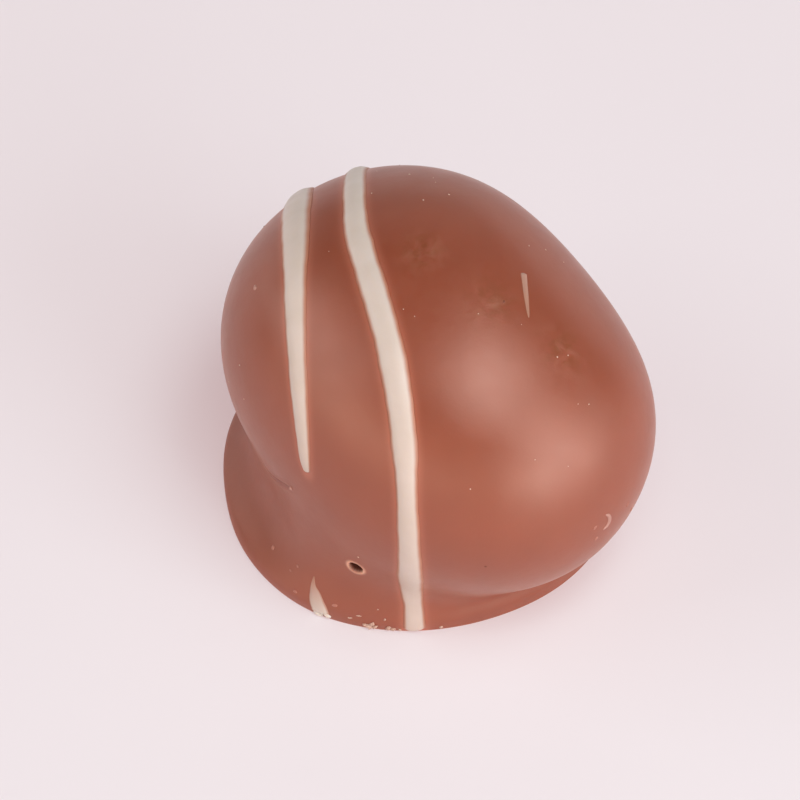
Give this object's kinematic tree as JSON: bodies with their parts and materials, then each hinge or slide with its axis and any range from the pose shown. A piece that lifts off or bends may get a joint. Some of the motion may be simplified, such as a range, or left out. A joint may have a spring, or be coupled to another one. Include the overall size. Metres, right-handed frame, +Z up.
{
  "type": "chocolate praline",
  "caption": "Enrobed milk chocolate praline: an egg-shaped body on a flat round pooled foot, with raised threads of white chocolate laid over the top.",
  "frame": {"origin": "on the floor, under the middle of the bounding box", "axes": "+Z up; -Y is the front, where the picture's camera stands; +X to the right of that view"},
  "size_m": [0.0289, 0.0301, 0.0226],
  "materials": {
    "milk_chocolate": "satin milk chocolate coating with soft broad highlights",
    "white_chocolate": "smooth ivory white chocolate threads"
  },
  "bodies": {
    "root": {"praline": "milk_chocolate"}
  },
  "joints": []
}
